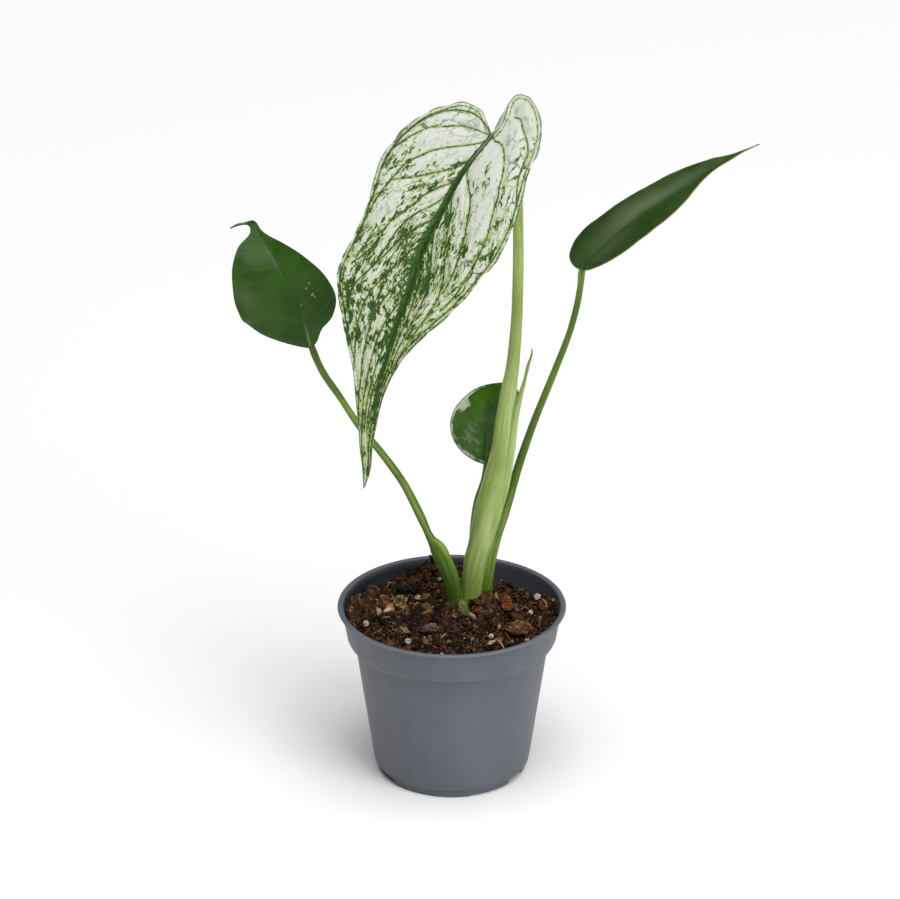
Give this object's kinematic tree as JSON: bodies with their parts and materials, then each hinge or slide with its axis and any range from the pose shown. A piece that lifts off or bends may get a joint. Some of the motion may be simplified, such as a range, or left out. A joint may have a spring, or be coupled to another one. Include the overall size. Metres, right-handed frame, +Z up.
{
  "type": "potted monstera",
  "caption": "Young variegated monstera in a round black-grey plastic nursery pot, with heart-shaped leaves on long stalks, a rolled new leaf and rough peat soil.",
  "frame": {"origin": "on the pot's axis, at the plane that the pot stands on", "axes": "+Z up along the pot's axis, +X to the right of the view from the front, +Y away from that viewer; the big variegated leaf faces -Y"},
  "size_m": [0.2691, 0.12, 0.3741],
  "materials": {
    "pot_plastic": "satin",
    "peat": "matte",
    "stem_skin": "matte",
    "leaf_variegated": "satin",
    "leaf_small_variegated": "satin",
    "leaf_green": "gloss",
    "stalk_pale_green": "satin",
    "stalk_green": "satin",
    "old_sheath": "matte",
    "bark_brown": "matte",
    "perlite_white": "matte",
    "twig_wood": "matte"
  },
  "bodies": {
    "root": {"pot": "pot_plastic", "potting_soil": "peat", "plant_stem": "stem_skin", "blade_large_variegated": "leaf_variegated", "blade_left": "leaf_green", "blade_right": "leaf_green", "blade_small_variegated": "leaf_small_variegated", "stalk_large": "stalk_pale_green", "stalk_left": "stalk_green", "stalk_right": "stalk_green", "stalk_small": "stalk_green", "new_leaf_spear": "stalk_pale_green", "old_sheath": "old_sheath", "bark_chip_large": "bark_brown", "bark_chip_right": "bark_brown", "bark_chip_front_left": "bark_brown", "bark_chip_by_stalk": "bark_brown", "bark_chip_left": "bark_brown", "wood_chip_pale": "twig_wood", "perlite_right": "perlite_white", "perlite_right_edge": "perlite_white", "perlite_back_left": "perlite_white", "perlite_back": "perlite_white", "perlite_left": "perlite_white", "perlite_front_left": "perlite_white", "perlite_far_left": "perlite_white", "perlite_front": "perlite_white", "twig_left": "twig_wood", "twig_front": "twig_wood", "twig_right": "twig_wood"}
  },
  "joints": []
}
